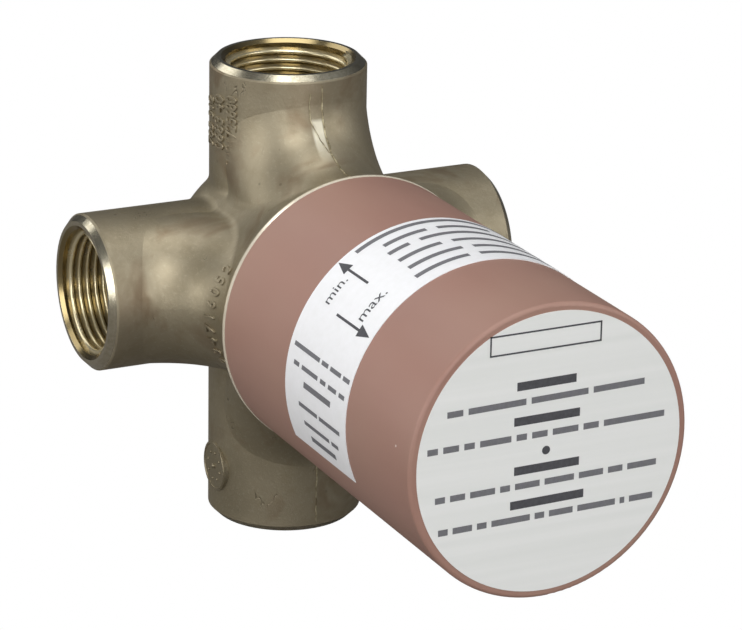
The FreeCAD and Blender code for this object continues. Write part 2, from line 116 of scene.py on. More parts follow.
def paper_white(name):
    # To the camera it is plain white, but it lights the object as a matt grey
    # sheet would.
    made = bpy.data.materials.new(name)
    made.use_nodes = True
    tree = made.node_tree
    tree.nodes.clear()
    out = node(tree, "ShaderNodeOutputMaterial")
    path = node(tree, "ShaderNodeLightPath")
    seen = calc(tree, "MAXIMUM", path.outputs["Is Camera Ray"], path.outputs["Is Transmission Ray"])
    flat = node(tree, "ShaderNodeEmission")
    flat.inputs["Color"].default_value = (1.0, 1.0, 1.0, 1.0)
    flat.inputs["Strength"].default_value = 1.0
    matt = node(tree, "ShaderNodeBsdfDiffuse")
    matt.inputs["Color"].default_value = (0.20, 0.19, 0.18, 1.0)
    mixed = node(tree, "ShaderNodeMixShader")
    feed(tree, mixed.inputs[0], seen)
    feed(tree, mixed.inputs[1], matt.outputs[0])
    feed(tree, mixed.inputs[2], flat.outputs[0])
    feed(tree, out.inputs[0], mixed.outputs[0])
    return made


def link_mesh(name, bm):
    data = bpy.data.meshes.new(name)
    bm.to_mesh(data)
    bm.free()
    made = bpy.data.objects.new(name, data)
    scene.collection.objects.link(made)
    return made


body_low, body_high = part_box("valve_body")
floor_bm = bmesh.new()
bmesh.ops.create_grid(floor_bm, x_segments=1, y_segments=1, size=6.0)
bmesh.ops.translate(floor_bm, verts=floor_bm.verts, vec=(0, 0, body_low[2] - 0.5 * MM))
floor = link_mesh("studio_floor", floor_bm)
floor.data.materials.append(paper_white("studio_floor_paper"))

world = bpy.data.worlds.new("studio_world")
world.use_nodes = True
scene.world = world
sky_tree = world.node_tree
sky_tree.nodes.clear()
sky_out = node(sky_tree, "ShaderNodeOutputWorld")
sky_path = node(sky_tree, "ShaderNodeLightPath")
sky_seen = node(sky_tree, "ShaderNodeBackground")
sky_seen.inputs["Color"].default_value = (1.0, 1.0, 1.0, 1.0)
sky_seen.inputs["Strength"].default_value = 1.0
sky_light = node(sky_tree, "ShaderNodeBackground")
sky_light.inputs["Color"].default_value = (0.92, 0.95, 1.0, 1.0)
sky_axes = node(sky_tree, "ShaderNodeSeparateXYZ")
feed(sky_tree, sky_axes.inputs[0], node(sky_tree, "ShaderNodeTexCoord").outputs["Generated"])
feed(sky_tree, sky_light.inputs["Strength"],
     spread(sky_tree, sky_axes.outputs[1], -0.35, 0.35, 0.30, 0.07))
sky_mix = node(sky_tree, "ShaderNodeMixShader")
feed(sky_tree, sky_mix.inputs[0], sky_path.outputs["Is Camera Ray"])
feed(sky_tree, sky_mix.inputs[1], sky_light.outputs[0])
feed(sky_tree, sky_mix.inputs[2], sky_seen.outputs[0])
feed(sky_tree, sky_out.inputs[0], sky_mix.outputs[0])


# Each light is a square sheet that faces the sleeve's root. Places and sides
# are in metres, powers in watts.
light_aim = Vector((0.0, -0.03, axis_z))


def soft_light(name, place, side, power):
    data = bpy.data.lights.new(name, "AREA")
    data.size = side
    data.energy = power
    lamp = bpy.data.objects.new(name, data)
    lamp.location = place
    lamp.rotation_euler = (light_aim - Vector(place)).to_track_quat("-Z", "Y").to_euler()
    scene.collection.objects.link(lamp)


soft_light("softbox_high", (-0.50, -1.00, 1.00), 0.70, 7.6)
soft_light("softbox_left", (-1.30, -0.15, 0.30), 0.70, 5.0)
soft_light("softbox_back_left", (-1.10, 0.75, 0.35), 0.70, 2.8)
soft_light("softbox_low_front", (-0.15, -1.35, 0.10), 0.70, 3.8)
soft_light("softbox_low_left", (-0.85, -1.05, 0.06), 0.50, 3.0)
soft_light("softbox_right", (0.90, -0.90, 0.70), 0.70, 4.2)
soft_light("softbox_top", (0.00, 0.00, 1.20), 0.70, 4.4)
soft_light("softbox_top_back", (-0.40, 0.90, 0.90), 0.70, 2.5)

# Cast brass body: one casting with a dull, blasted skin as it came from the
# mould. The port ends and the flange are turned bright, and the ports bored.


def blend(tree, share, first, second):
    made = node(tree, "ShaderNodeMix", data_type="RGBA")
    feed(tree, made.inputs[0], share)
    feed(tree, made.inputs[6], first)
    feed(tree, made.inputs[7], second)
    return made.outputs[2]


def grain(tree, where, scale, detail=4.0, rough=0.55, distort=0.0):
    made = node(tree, "ShaderNodeTexNoise")
    feed(tree, made.inputs["Vector"], where)
    made.inputs["Scale"].default_value = scale
    made.inputs["Detail"].default_value = detail
    made.inputs["Roughness"].default_value = rough
    made.inputs["Distortion"].default_value = distort
    return made.outputs["Fac"]


def cells(tree, where, scale):
    made = node(tree, "ShaderNodeTexVoronoi")
    feed(tree, made.inputs["Vector"], where)
    made.inputs["Scale"].default_value = scale
    return made.outputs["Distance"]


def stretched(tree, where, scale):
    made = node(tree, "ShaderNodeMapping")
    feed(tree, made.inputs["Vector"], where)
    made.inputs["Scale"].default_value = scale
    return made.outputs[0]


def bump(tree, height, strength, distance, under=None):
    made = node(tree, "ShaderNodeBump")
    made.inputs["Strength"].default_value = strength
    made.inputs["Distance"].default_value = distance
    feed(tree, made.inputs["Height"], height)
    feed(tree, made.inputs["Normal"], under)
    return made.outputs[0]


def rgb(code):
    # A display colour as the linear values that a shader takes.
    parts = [int(code[i:i + 2], 16) / 255.0 for i in (0, 2, 4)]
    linear = [p / 12.92 if p <= 0.04045 else ((p + 0.055) / 1.055) ** 2.4 for p in parts]
    return (linear[0], linear[1], linear[2], 1.0)


def new_material(name):
    made = bpy.data.materials.new(name)
    made.use_nodes = True
    tree = made.node_tree
    shader = tree.nodes["Principled BSDF"]
    where = node(tree, "ShaderNodeTexCoord").outputs["Object"]
    return made, tree, shader, where


cast, tree, shader, where = new_material("cast_brass_skin")
axes = node(tree, "ShaderNodeSeparateXYZ")
feed(tree, axes.inputs[0], where)
x, y, z = axes.outputs[0], axes.outputs[1], axes.outputs[2]
up = calc(tree, "SUBTRACT", z, axis_z)
# Masks for what is turned or bored, each from its place on the casting.
bevel_depth = 1.15 * MM
flange_edge = 0.9 * MM
end_left = calc(tree, "LESS_THAN", x, body_low[0] + bevel_depth)
end_right = calc(tree, "GREATER_THAN", x, body_high[0] - bevel_depth)
end_top = calc(tree, "GREATER_THAN", z, body_high[2] - bevel_depth)
end_bottom = calc(tree, "LESS_THAN", z, body_low[2] + bevel_depth)
turned_front = calc(tree, "LESS_THAN", y, sleeve_high[1] + flange_edge)
square_x = calc(tree, "POWER", x, 2.0)
square_y = calc(tree, "POWER", y, 2.0)
square_z = calc(tree, "POWER", up, 2.0)
off_vertical = calc(tree, "SQRT", calc(tree, "ADD", square_x, square_y))
off_level = calc(tree, "SQRT", calc(tree, "ADD", square_y, square_z))
bore_edge = 14.1 * MM
bore_start = 20.0 * MM
in_vertical = calc(tree, "MULTIPLY", calc(tree, "LESS_THAN", off_vertical, bore_edge),
                   calc(tree, "GREATER_THAN", calc(tree, "ABSOLUTE", up), bore_start))
in_level = calc(tree, "MULTIPLY", calc(tree, "LESS_THAN", off_level, bore_edge),
                calc(tree, "GREATER_THAN", calc(tree, "ABSOLUTE", x), bore_start))
bored = calc(tree, "MAXIMUM", in_vertical, in_level)
mirror = bored
for part in (end_left, end_right, end_top, end_bottom):
    mirror = calc(tree, "MAXIMUM", mirror, part)
turned = calc(tree, "MAXIMUM", mirror, turned_front)

# Colour of the skin, from broad clouds down to single grains of sand.
cloud = grain(tree, where, 38.0, 2.0, 0.5)
mottle = grain(tree, where, 190.0, 4.0, 0.55, 0.2)
fine = grain(tree, where, 1500.0, 3.0, 0.6)
sand = grain(tree, where, 4200.0, 2.0, 0.5)
tone = blend(tree, spread(tree, cloud, 0.35, 0.68), rgb("8f856e"), rgb("a79c84"))
dark_spots = calc(tree, "MULTIPLY", spread(tree, mottle, 0.48, 0.72), 0.45)
tone = blend(tree, dark_spots, tone, rgb("81765c"))
pale_grains = calc(tree, "MULTIPLY", spread(tree, fine, 0.55, 0.75), 0.30)
tone = blend(tree, pale_grains, tone, rgb("b9b09a"))
pit_field = cells(tree, where, 210.0)
pits = calc(tree, "MULTIPLY", spread(tree, pit_field, 0.04, 0.10, 1.0, 0.0),
            spread(tree, grain(tree, where, 90.0, 2.0), 0.52, 0.62))
# A few hairline scratches, where a slow noise passes through its middle.
line_field = grain(tree, stretched(tree, where, (1.0, 1.0, 0.5)), 95.0, 4.0, 0.6, 0.6)
hairs = calc(tree, "ABSOLUTE", calc(tree, "SUBTRACT", line_field, 0.5))
hairs = calc(tree, "MULTIPLY", spread(tree, hairs, 0.0, 0.006, 1.0, 0.0),
             spread(tree, grain(tree, where, 120.0, 1.0), 0.62, 0.68))
marks = calc(tree, "MAXIMUM", pits, hairs)
tone = blend(tree, calc(tree, "MULTIPLY", marks, 0.6), tone, rgb("453d2d"))
# A painted highlight: a pale patch beside the parting line, low on the front of the top tube, where
# the tube catches the light.
beside = calc(tree, "MULTIPLY", spread(tree, x, -2.8 * MM, -2.3 * MM),
              spread(tree, x, -0.35 * MM, -0.05 * MM, 1.0, 0.0))
level = calc(tree, "MULTIPLY", spread(tree, up, 29.6 * MM, 33.4 * MM),
             spread(tree, up, 36.4 * MM, 37.2 * MM, 1.0, 0.0))
in_front = calc(tree, "LESS_THAN", y, -12.0 * MM)
painted_highlight_patch = calc(tree, "MULTIPLY", calc(tree, "MULTIPLY", beside, level), in_front)
# The pale colour here is painted light, a highlight, not wear of the brass.
tone = blend(tree, calc(tree, "MULTIPLY", painted_highlight_patch, 0.75), tone, rgb("f2ecd6"))
# Brownish stains as wide as a fingertip.
stain = spread(tree, grain(tree, where, 75.0, 3.0, 0.6, 0.5), 0.54, 0.66)
tone = blend(tree, calc(tree, "MULTIPLY", stain, 0.55), tone, rgb("7f6b52"))
# Turned faces: the port ends mirror, the bores are darker, the flange is pale.
bright = blend(tree, spread(tree, fine, 0.35, 0.7), rgb("c9c0a6"), rgb("ded6bf"))
bright = blend(tree, bored, bright, rgb("a3926a"))
bright = blend(tree, turned_front, bright, rgb("e6dcc6"))
feed(tree, shader.inputs["Base Color"], blend(tree, turned, tone, bright))
cast_rough = spread(tree, mottle, 0.3, 0.75, 0.40, 0.52)
feed(tree, shader.inputs["Roughness"], spread(tree, turned, 0.0, 1.0, cast_rough, 0.22))
metal = calc(tree, "MULTIPLY_ADD", mirror, 0.60, spread(tree, turned, 0.0, 1.0, 0.74, 0.40))
feed(tree, shader.inputs["Metallic"], metal)
# The skin's height, flat where it is turned, over slow waves of the mould.
height = calc(tree, "ADD", calc(tree, "MULTIPLY", mottle, 0.5), calc(tree, "MULTIPLY", fine, 0.40))
height = calc(tree, "ADD", height, calc(tree, "MULTIPLY", sand, 0.16))
height = calc(tree, "SUBTRACT", height, calc(tree, "MULTIPLY", marks, 0.7))
as_cast = calc(tree, "SUBTRACT", 1.0, turned)
height = calc(tree, "MULTIPLY", height, as_cast)
waves = bump(tree, calc(tree, "MULTIPLY", cloud, as_cast), 0.25, 1.5 * MM)
feed(tree, shader.inputs["Normal"], bump(tree, height, 0.38, 0.30 * MM, waves))


def dress(name, material):
    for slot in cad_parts[name].material_slots:
        slot.material = material


dress("valve_body", cast)

# Parting line: where the two mould halves met, a thin uneven fin runs down
# the front and the back of the upright tubes and through the front hollows.
# It is of the casting's own brass, its crest rubbed lighter in places.
fin_brass, tree, shader, where = new_material("parting_fin_brass")
worn = grain(tree, where, 420.0, 3.0, 0.6)
fin_tone = blend(tree, spread(tree, worn, 0.4, 0.62), rgb("7d7258"), rgb("cbc0a0"))
feed(tree, shader.inputs["Base Color"], fin_tone)
shader.inputs["Metallic"].default_value = 0.7
shader.inputs["Roughness"].default_value = 0.42
# The tube, the hollow that runs from it to the flange, and the crown at the
# hub's back, all in mm. A fin stops short of the port's end.
tube_r = 16.5
hollow_r = 12.5
hollow_top = 40.7
hollow_front = tube_r + hollow_r
flange_back = 33.0
hub_crown = 17.2
crown_half = 14.0
crown_fade = 3.0
end_gap = 2
sunk_in_flange = 0.2


def waver():
    # The fin wanders a little to either side.
    return random.uniform(-0.14, 0.14)


def fin(name, path, thick):
    curve = bpy.data.curves.new(name, "CURVE")
    curve.dimensions = "3D"
    curve.bevel_depth = thick
    curve.bevel_resolution = 1
    curve.use_fill_caps = True
    spline = curve.splines.new("POLY")
    spline.points.add(len(path) - 1)
    for point, place in zip(spline.points, path):
        point.co = (place[0], place[1], place[2], 1.0)
        point.radius = random.uniform(0.75, 1.2)
    draft = bpy.data.objects.new(name + "_draft", curve)
    scene.collection.objects.link(draft)
    bpy.context.view_layer.update()
    data = bpy.data.meshes.new_from_object(draft)
    bpy.data.objects.remove(draft)
    made = bpy.data.objects.new(name, data)
    scene.collection.objects.link(made)
    data.materials.append(fin_brass)
    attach(made, "valve")


def round_hollow(turn):
    # A point of the hollow's quarter bend: its depth and its height.
    return -hollow_front + hollow_r * math.cos(turn), hollow_top - hollow_r * math.sin(turn)


def front_path(reach, side, shift=0.0):
    # Down the tube's front, round the hollow and on to the flange. side is 1
    # for the top tube and -1 for the bottom one; heights are from the spindle.
    path = []
    for height in range(int(reach) - end_gap, int(hollow_top), -1):
        path.append((shift, -tube_r, height))
    for step in range(0, 19):
        depth, height = round_hollow(math.radians(step * 5.0))
        path.append((shift, depth, height))
    path.append((shift, -flange_back + sunk_in_flange, hollow_top - hollow_r))
    return [((across + waver()) * MM, depth * MM, axis_z + side * height * MM)
            for across, depth, height in path]


top_reach = (body_high[2] - axis_z) / MM
bottom_reach = (axis_z - body_low[2]) / MM
fin("top_parting_fin", front_path(top_reach, 1.0, 0.15), 0.20 * MM)
fin("bottom_parting_fin", front_path(bottom_reach, -1.0), 0.16 * MM)
back_path = []
for height in range(int(top_reach) - end_gap, -int(bottom_reach) + end_gap - 1, -1):
    crown = max(0.0, min(1.0, (crown_half - abs(height)) / crown_fade))
    depth = tube_r + (hub_crown - tube_r) * crown
    back_path.append((waver() * MM, depth * MM, axis_z + height * MM))
fin("back_parting_fin", back_path, 0.16 * MM)
# A second, finer line beside the first closes in on it down the top hollow.
side_path = []
for step in range(0, 13):
    depth, height = round_hollow(math.radians(step * 5.0 - 8.0))
    beside_first = -2.75 + max(0.0, step - 5.0) * 0.36
    side_path.append(((beside_first + random.uniform(-0.12, 0.12)) * MM, depth * MM,
                      axis_z + height * MM))
fin("side_parting_fin", side_path, 0.10 * MM)

# Foundry dial: a round pad low on the left of the bottom tube, with a rim
# and a ring of plain dots, as the mould's date insert leaves it.
dial_bm = bmesh.new()
# The pad's middle lies this far from the port's end, and its face stands just
# proud of the tube. All sizes are in mm.
pad_from_end = 11.6
pad_down = bottom_reach - pad_from_end
pad_face = -(tube_r + 0.12)
dial_r = 5.0
rim_foot, rim_crest, rim_lift, rim_sunk = 0.25, 0.15, 0.16, 0.1
dot_ring = 3.1
dot_r, middle_dot_r = 0.28, 0.55
rim_turn = Matrix.Rotation(math.radians(90.0), 4, "Y")
rim_at = Matrix.Translation((pad_face * MM, 0.0, axis_z - pad_down * MM)) @ rim_turn
rim_section = [(dial_r - rim_foot, -rim_sunk), (dial_r - rim_crest, rim_lift),
               (dial_r + rim_crest, rim_lift), (dial_r + rim_foot, -rim_sunk)]
ring_verts = [dial_bm.verts.new((radius * MM, 0.0, -lift * MM)) for radius, lift in rim_section]
ring_edges = [dial_bm.edges.new((ring_verts[i], ring_verts[(i + 1) % 4])) for i in range(4)]
bmesh.ops.spin(dial_bm, geom=ring_verts + ring_edges, cent=(0, 0, 0), axis=(0, 0, 1),
               angle=2.0 * math.pi, steps=64, use_merge=True, use_duplicate=False)
bmesh.ops.recalc_face_normals(dial_bm, faces=dial_bm.faces)
for step in range(8):
    turn = math.radians(step * 45.0 + 12.0)
    spot = Vector((dot_ring * math.cos(turn), dot_ring * math.sin(turn), -0.02)) * MM
    bmesh.ops.create_uvsphere(dial_bm, u_segments=12, v_segments=6, radius=dot_r * MM,
                              matrix=Matrix.Translation(spot))
bmesh.ops.create_uvsphere(dial_bm, u_segments=16, v_segments=8, radius=middle_dot_r * MM,
                          matrix=Matrix.Identity(4))
bmesh.ops.transform(dial_bm, matrix=rim_at, verts=dial_bm.verts)
dial = link_mesh("foundry_dial", dial_bm)
dial.data.materials.append(cast)
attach(dial, "valve")

# Cast figures: rows of plain numbers stand proud on the left of the top
# tube and behind the flange, raised in the same casting.
relief, edge_round, skin_gap = 0.26, 0.10, 0.05


def cast_row(name, figures, tall, slim, place):
    # place gives the skin's point from a figure's point along, across and up.
    curve = bpy.data.curves.new(name, "FONT")
    curve.body = figures
    curve.size = tall
    curve.align_x = "CENTER"
    curve.align_y = "CENTER"
    curve.extrude = relief
    curve.bevel_depth = edge_round
    curve.bevel_resolution = 1
    draft = bpy.data.objects.new(name + "_draft", curve)
    scene.collection.objects.link(draft)
    bpy.context.view_layer.update()
    flat = bpy.data.meshes.new_from_object(draft)
    bpy.data.objects.remove(draft)
    bm = bmesh.new()
    bm.from_mesh(flat)
    bpy.data.meshes.remove(flat)
    for vert in bm.verts:
        vert.co = place(vert.co.x * slim, vert.co.y, vert.co.z)
    bmesh.ops.recalc_face_normals(bm, faces=bm.faces)
    made = link_mesh(name, bm)
    made.data.materials.append(cast)
    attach(made, "valve")


def on_tube(turn, middle):
    # Upwards along the top tube, turn degrees round from its front.
    def place(along, across, lift):
        spot = math.radians(turn) + across / tube_r
        radius = (tube_r + skin_gap + lift) * MM
        return (-radius * math.sin(spot), -radius * math.cos(spot), axis_z + (middle + along) * MM)
    return place


# The rays start outside the casting, and a row's pitch is counted at a mean
# radius of the flare.
outside_r = 60.0
hub_row_r = 26.0
body_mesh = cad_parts["valve_body"]
body_skin = BVHTree.FromPolygons([body_mesh.matrix_world @ v.co for v in body_mesh.data.vertices],
                                 [tuple(p.vertices) for p in body_mesh.data.polygons])


def on_hub(middle_angle, depth):
    # Upwards round the hub's left side, on its flare as a ray from outside
    # meets it there.
    def place(along, across, lift):
        angle = math.radians(middle_angle) + along / hub_row_r
        out = Vector((-math.cos(angle), 0.0, math.sin(angle)))
        start = crossing + Vector((0.0, (depth + across) * MM, 0.0)) + out * outside_r * MM
        skin = body_skin.ray_cast(start, -out)[0]
        return skin + out * (lift + skin_gap) * MM
    return place


cast_row("cast_figures_a", "3401725680", 4.2, 0.72, on_tube(69.0, 33.0))
cast_row("cast_figures_b", "0683 40", 4.8, 0.75, on_tube(83.0, 34.0))
cast_row("cast_figures_c", "705 312", 4.4, 0.75, on_tube(97.0, 33.4))
cast_row("cast_figures_hub", "8 0 3 4 7 1 6 0 5 2", 3.8, 0.82, on_hub(-1.5, -25.6))

# Internal pipe threads of the four ports: a ridge of the thread's own
# section wound down each bore, cut bright by the tap.
threads, tree, shader, where = new_material("tapped_brass")
swirl = grain(tree, where, 260.0, 2.0, 0.5)
feed(tree, shader.inputs["Base Color"], blend(tree, swirl, rgb("d6c79a"), rgb("efe3c2")))
shader.inputs["Metallic"].default_value = 0.8
feed(tree, shader.inputs["Roughness"], spread(tree, swirl, 0.3, 0.7, 0.20, 0.28))

thread_pitch = 1.814 * MM
thread_root = 13.27 * MM
thread_crest = 12.10 * MM
crest_round = 0.34 * MM
thread_start = 0.1 * MM
thread_run = 16.2 * MM
thread_foot = 0.46
lead_in_start, lead_in_turns = -0.16, 0.4


def wind_thread(name, end, outward):
    bm = bmesh.new()
    inward = -outward
    side = Vector((0, 1, 0)).cross(outward).normalized()
    first = end + inward * (thread_start + thread_pitch / 2.0)
    # The section, as radii and as shares of the pitch along the bore.
    profile = [(thread_root, -thread_foot)]
    for lean in (-55.0, -30.0, 0.0, 30.0, 55.0):
        turn = math.radians(lean)
        profile.append((thread_crest + crest_round * (1.0 - math.cos(turn)),
                        crest_round / thread_pitch * math.sin(turn)))
    profile.append((thread_root, thread_foot))
    points = [bm.verts.new(first + side * radius + inward * along * thread_pitch)
              for radius, along in profile]
    rim = [bm.edges.new((points[i], points[(i + 1) % len(points)])) for i in range(len(points))]
    turns = (thread_run - thread_pitch) / thread_pitch
    steps_per_turn = 72
    steps = int(turns * steps_per_turn)
    bm.faces.new(points)
    geometry = bmesh.ops.spin(
        bm, geom=list(points) + rim, cent=first, axis=outward,
        dvec=inward * (thread_pitch / steps_per_turn),
        angle=-2.0 * math.pi * steps / steps_per_turn, steps=steps, use_duplicate=False)
    last = [v for v in geometry["geom_last"] if isinstance(v, bmesh.types.BMVert)]
    bm.faces.new(last)
    # The crest rises from the bore's wall over the first part of a turn.
    for vert in bm.verts:
        arm = vert.co - first
        sunk = arm.dot(inward)
        arm -= inward * sunk
        rise = max(0.0, min(1.0, (sunk / thread_pitch - lead_in_start) / lead_in_turns))
        on_crest = arm.length < thread_root - 0.3 * MM
        if on_crest and rise < 1.0:
            vert.co += arm.normalized() * (thread_root - arm.length) * (1.0 - rise)
    bmesh.ops.recalc_face_normals(bm, faces=bm.faces)
    made = link_mesh(name, bm)
    made.data.materials.append(threads)
    made.data.shade_smooth()
    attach(made, "valve")


wind_thread("top_port_thread", Vector((0, 0, body_high[2])), Vector((0, 0, 1)))
wind_thread("bottom_port_thread", Vector((0, 0, body_low[2])), Vector((0, 0, -1)))
wind_thread("left_port_thread", Vector((body_low[0], 0, axis_z)), Vector((-1, 0, 0)))
wind_thread("right_port_thread", Vector((body_high[0], 0, axis_z)), Vector((1, 0, 0)))

# Protective sleeve: a thin red-brown plastic cap, satin from the mould, with
# faint flow marks round it and some building dust. It is pushed over the
# spigot of the body and drawn off by hand once the wall is done.
plastic, tree, shader, where = new_material("sleeve_plastic")
flow = grain(tree, stretched(tree, where, (1.0, 0.12, 1.0)), 60.0, 3.0, 0.5)
cloud = grain(tree, where, 30.0, 2.0, 0.5)
skin = grain(tree, where, 2600.0, 2.0, 0.5)
tone = blend(tree, spread(tree, flow, 0.3, 0.7), rgb("987366"), rgb("a17c6f"))
tone = blend(tree, calc(tree, "MULTIPLY", spread(tree, cloud, 0.35, 0.7), 0.5), tone, rgb("a48676"))
dust_field = cells(tree, where, 150.0)
dust = calc(tree, "MULTIPLY", spread(tree, dust_field, 0.02, 0.045, 1.0, 0.0),
            spread(tree, grain(tree, where, 45.0, 2.0), 0.60, 0.64))
tone = blend(tree, calc(tree, "MULTIPLY", dust, 0.8), tone, rgb("e8ded6"))
feed(tree, shader.inputs["Base Color"], tone)
feed(tree, shader.inputs["Roughness"], spread(tree, cloud, 0.3, 0.7, 0.42, 0.52))
shader.inputs["Specular IOR Level"].default_value = 0.4
feed(tree, shader.inputs["Normal"], bump(tree, skin, 0.12, 0.12 * MM))
dress("protective_sleeve", plastic)

# Paper labels: a white band stuck round the sleeve and a round one on its
# front, both smooth coated paper with a trace of the ribs under them.
paper, tree, shader, where = new_material("label_paper")
fibre = grain(tree, where, 700.0, 3.0, 0.5)
wave = grain(tree, stretched(tree, where, (0.35, 1.0, 1.6)), 110.0, 2.0, 0.5)
feed(tree, shader.inputs["Base Color"], blend(tree, fibre, rgb("ebebeb"), rgb("f4f4f6")))
shader.inputs["Roughness"].default_value = 0.45
feed(tree, shader.inputs["Normal"], bump(tree, wave, 0.10, 0.5 * MM))
dress("wrap_label", paper)
front_paper, tree, shader, where = new_material("front_label_paper")
rows = grain(tree, stretched(tree, where, (0.02, 1.0, 1.0)), 420.0, 2.0, 0.5)
feed(tree, shader.inputs["Base Color"], blend(tree, rows, rgb("dfe1dd"), rgb("efefed")))
shader.inputs["Roughness"].default_value = 0.5
feed(tree, shader.inputs["Normal"], bump(tree, rows, 0.10, 0.3 * MM))
dress("front_label", front_paper)

# Print on the band: dark ink as a thin film. It shows two arrows marked
# min. and max., which tell how deep the body may sit, and lines of plain bars.
ink, tree, shader, where = new_material("label_ink")
press = grain(tree, where, 1500.0, 2.0, 0.5)
feed(tree, shader.inputs["Base Color"], blend(tree, press, rgb("3b3b3d"), rgb("55555a")))
shader.inputs["Roughness"].default_value = 0.6
pale_ink, tree, shader, where = new_material("label_small_print")
press = grain(tree, where, 1500.0, 2.0, 0.5)
feed(tree, shader.inputs["Base Color"], blend(tree, press, rgb("646467"), rgb("7a7a7e")))
shader.inputs["Roughness"].default_value = 0.6
ink_lift = 0.03 * MM
band_r = (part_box("wrap_label")[1][2] - axis_z) + ink_lift


def on_band(angle, along):
    turn = math.radians(angle)
    return Vector((band_r * math.cos(turn), along, axis_z + band_r * math.sin(turn)))


def lay(bm, place):
    for vert in bm.verts:
        vert.co = place(vert.co.x, vert.co.y)


def cut_every(bm, step):
    # Cuts the flat shape at even steps along, so that it can bend.
    low = min(v.co.x for v in bm.verts)
    high = max(v.co.x for v in bm.verts)
    count = int((high - low) / step)
    for i in range(1, count + 1):
        at = low + i * step
        geometry = list(bm.verts) + list(bm.edges) + list(bm.faces)
        bmesh.ops.bisect_plane(bm, geom=geometry, plane_co=(at, 0, 0), plane_no=(1, 0, 0))


def bar_line(bm, start, end, tall, bars):
    # One line of plain bars from start to end. bars gives their lengths as
    # multiples of the gap between two of them.
    run = Vector(end) - Vector(start)
    gap = run / (sum(bars) + len(bars) - 1)
    rise = Vector((-run.y, run.x)).normalized() * tall
    here = Vector(start) - rise / 2.0
    for length in bars:
        there = here + gap * length
        corners = (here, there, there + rise, here + rise)
        bm.faces.new([bm.verts.new((corner.x, corner.y, 0.0)) for corner in corners])
        here = there + gap


mm_per_degree = math.radians(1.0) * band_r / MM
shaft_half, head_half, head_long = 0.27, 1.3, 4.4
band_print = bmesh.new()
for tip_angle, tail, tip in ((128.9, -77.0, -63.9), (145.2, -75.3, -89.5)):
    u = tip_angle * mm_per_degree
    way = 1.0 if tip > tail else -1.0
    neck = tip - way * head_long
    barb = neck - way * 0.1
    for outline in (((u - shaft_half, tail), (u + shaft_half, tail),
                     (u + shaft_half, neck), (u - shaft_half, neck)),
                    ((u - head_half, barb), (u + head_half, barb), (u, tip))):
        band_print.faces.new([band_print.verts.new((a, b, 0.0)) for a, b in outline])
band_small = bmesh.new()
# Lines that run round the sleeve over its top: the angle where each starts,
# its place along the sleeve in mm, and its bars.
bar_gap = 2.35
for start, along, bars in (
        (121.7, -65.4, (16,)), (113.0, -69.4, (4, 5)), (114.8, -73.2, (2, 9)),
        (114.7, -77.6, (4, 7)), (114.9, -82.0, (5, 7)), (116.4, -86.3, (5, 10))):
    length = bar_gap * (sum(bars) + len(bars) - 1)
    first = start * mm_per_degree
    bar_line(band_small, (first - length, along), (first, along), 1.4, bars[::-1])
# Lines that run along the sleeve, low on its left.
for angle, front, back, tall, bars in (
        (163.4, -89.6, -65.3, 0.9, (3, 5, 3, 12)), (170.1, -89.0, -66.6, 0.9, (2, 3, 2, 6, 2)),
        (176.0, -83.7, -71.8, 1.2, (9,)), (184.8, -87.9, -69.7, 0.9, (11, 10)),
        (191.7, -86.5, -71.3, 0.9, (3, 11)), (197.5, -84.0, -73.1, 1.2, (7,))):
    round_to = angle * mm_per_degree
    bar_line(band_small, (round_to, front), (round_to, back), tall, bars)
for name, print_bm, colour in (
        ("band_arrows", band_print, ink), ("band_lines", band_small, pale_ink)):
    cut_every(print_bm, 1.0)
    lay(print_bm, lambda u, v: on_band(u / mm_per_degree, v * MM))
    bmesh.ops.recalc_face_normals(print_bm, faces=print_bm.faces)
    for face in print_bm.faces:
        out = face.calc_center_median() - Vector((0, face.calc_center_median().y, axis_z))
        if face.normal.dot(out) < 0:
            face.normal_flip()
    band_marks = link_mesh(name, print_bm)
    band_marks.data.materials.append(colour)
    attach(band_marks, "sleeve")


def label_word(name, word, angle, along, tall):
    # A short mark that reads round the sleeve, its top towards the body.
    curve = bpy.data.curves.new(name, "FONT")
    curve.body = word
    curve.size = tall
    curve.align_x = "CENTER"
    curve.align_y = "CENTER"
    text = bpy.data.objects.new(name + "_draft", curve)
    scene.collection.objects.link(text)
    bpy.context.view_layer.update()
    flat = bpy.data.meshes.new_from_object(text)
    bpy.data.objects.remove(text)
    bm = bmesh.new()
    bm.from_mesh(flat)
    bpy.data.meshes.remove(flat)
    cut_every(bm, 0.8)
    lay(bm, lambda u, v: on_band(angle - u / mm_per_degree, (along + v) * MM))
    made = link_mesh(name, bm)
    made.data.materials.append(ink)
    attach(made, "sleeve")


label_word("min_mark", "min.", 138.1, -69.9, 3.8)
label_word("max_mark", "max.", 134.8, -83.3, 4.1)

